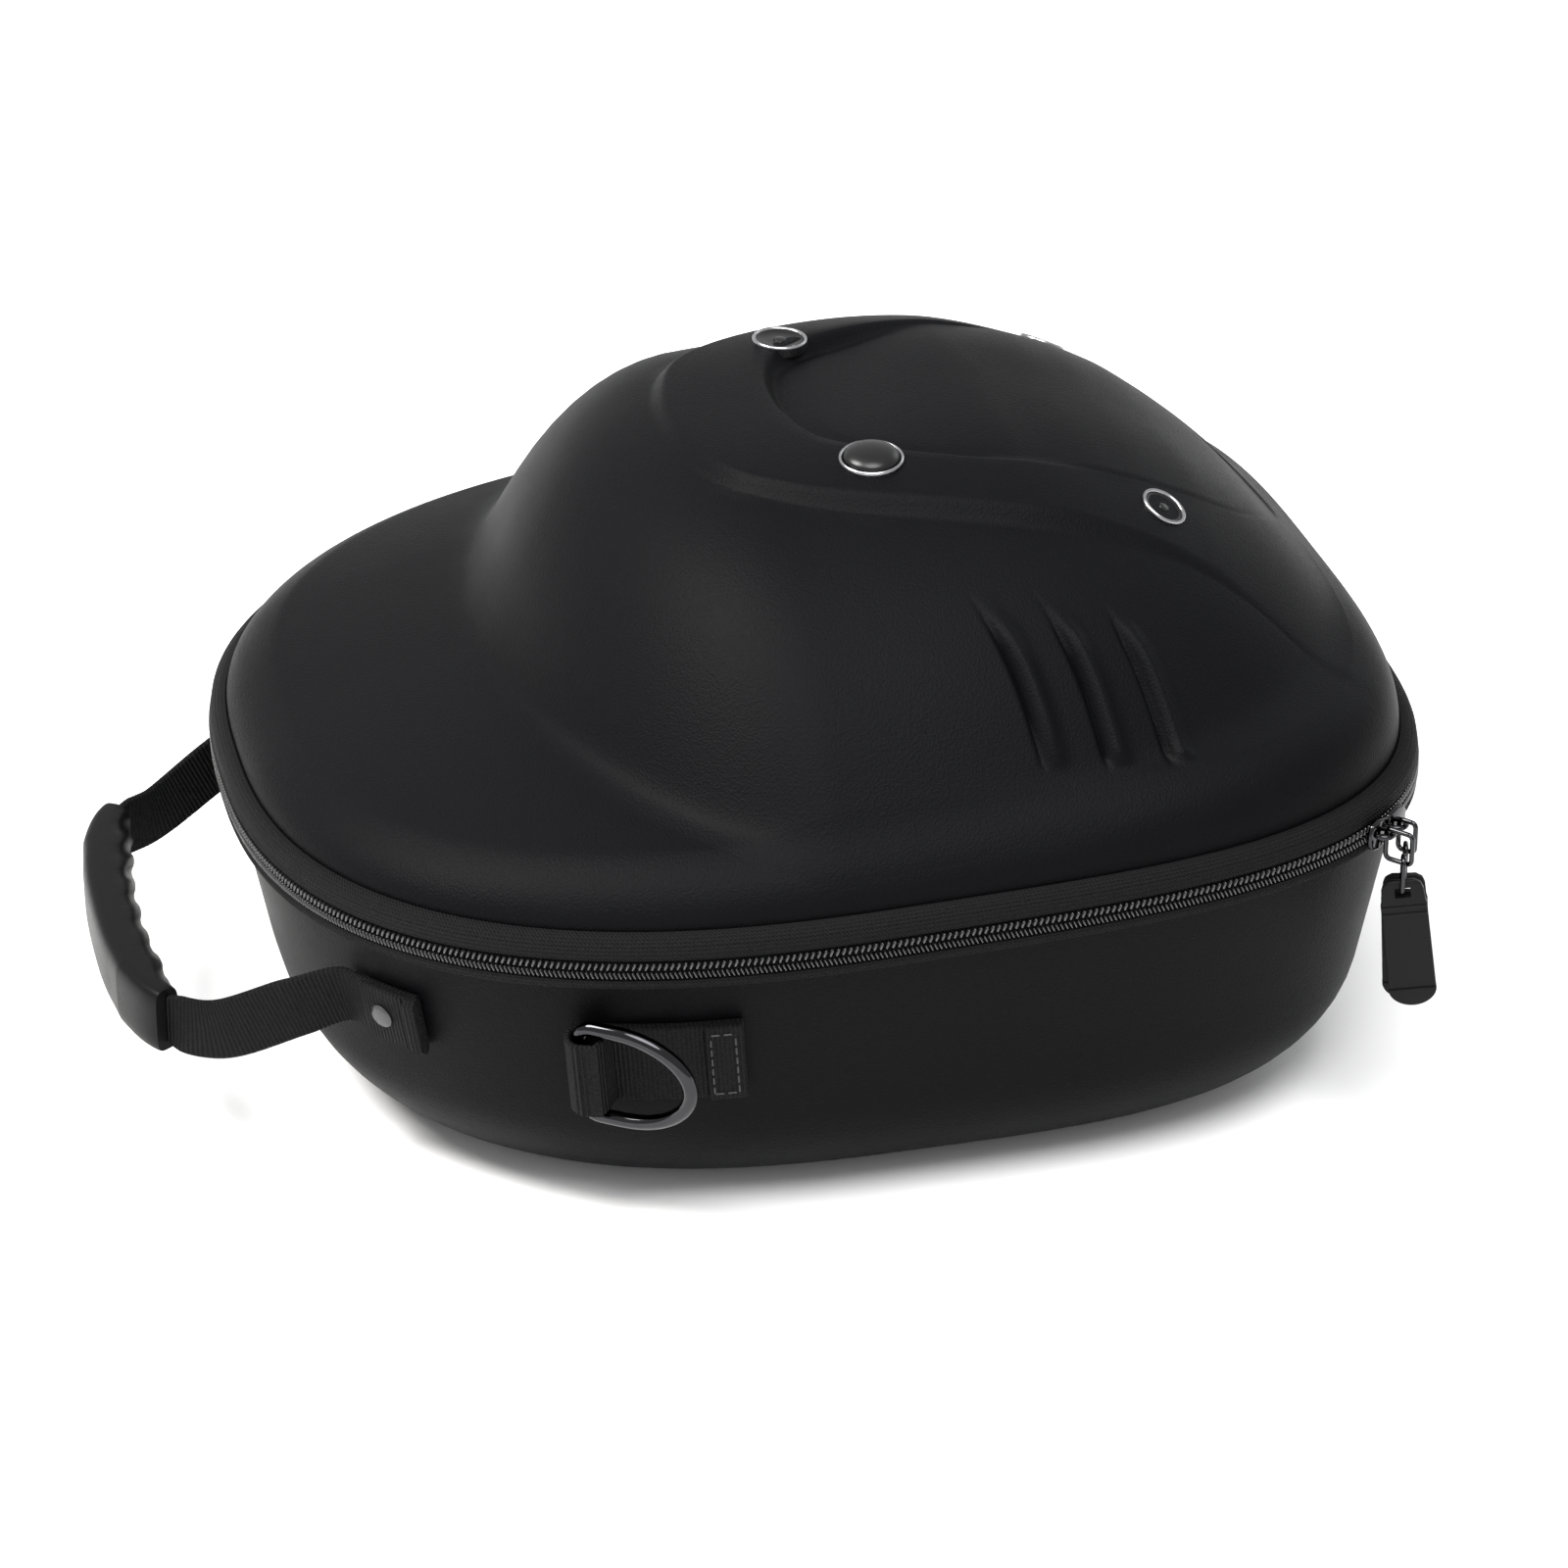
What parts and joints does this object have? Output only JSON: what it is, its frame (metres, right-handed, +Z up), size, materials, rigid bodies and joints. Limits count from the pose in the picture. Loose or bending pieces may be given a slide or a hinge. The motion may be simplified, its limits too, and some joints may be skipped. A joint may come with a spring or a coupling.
{
  "type": "hat case",
  "caption": "Moulded travel case shaped to a cap: tray and domed lid closed by a zip, with a front carrying handle and strap rings on both flanks.",
  "frame": {"origin": "centre of the flat underside of the tray", "axes": "+Z up, +X towards the rear of the case, -X towards the brim end and its handle"},
  "size_m": [0.3749, 0.3044, 0.1885],
  "materials": {
    "shell": "matt black cloth-faced moulded foam, fine weave",
    "zip_tape": "woven tape, stitched",
    "zip_teeth": "satin nylon coil",
    "webbing": "ribbed webbing",
    "grip": "gathered padded wrap",
    "pull": "moulded, satin",
    "black_metal": "glossy black plated",
    "bright_metal": "polished"
  },
  "bodies": {
    "base": {"base_shell": "shell", "lower_tape": "zip_tape", "lower_teeth": "zip_teeth", "hinge_tape_lower": "zip_tape", "handle_strap": "webbing", "handle_grip": "grip", "handle_rivet_near": "black_metal", "handle_rivet_far": "black_metal", "ring_strap_near": "webbing", "ring_strap_far": "webbing", "slider_rear": "black_metal", "slider_brim": "black_metal", "slider_link_rear": "black_metal", "slider_link_brim": "black_metal", "pull_ring_rear": "black_metal", "pull_ring_brim": "black_metal", "pull_tab_rear": "pull", "pull_tab_brim": "pull"},
    "lid": {"lid_shell": "shell", "upper_tape": "zip_tape", "upper_teeth": "zip_teeth", "hinge_tape_upper": "zip_tape", "dome_stud": "black_metal", "eyelet_front": "bright_metal", "eyelet_rear_near": "bright_metal", "eyelet_rear_far": "bright_metal"},
    "ring_near": {"d_ring_near": "black_metal"},
    "ring_far": {"d_ring_far": "black_metal"}
  },
  "joints": [
    {"name": "lid_hinge", "type": "hinge", "parent": "base", "child": "lid", "pos_m": [-0.001, 0.1516, 0.08996], "axis": [-0.9993, 0, -0.0376], "range_deg": [0, 105]},
    {"name": "ring_near_swing", "type": "hinge", "parent": "base", "child": "ring_near", "pos_m": [-0.09029, -0.13252, 0.05438], "axis": [0.0944, 0.1688, -0.9811], "range_deg": [-10, 110]},
    {"name": "ring_far_swing", "type": "hinge", "parent": "base", "child": "ring_far", "pos_m": [-0.09029, 0.13252, 0.05438], "axis": [-0.0944, 0.1688, 0.9811], "range_deg": [-10, 110]}
  ]
}
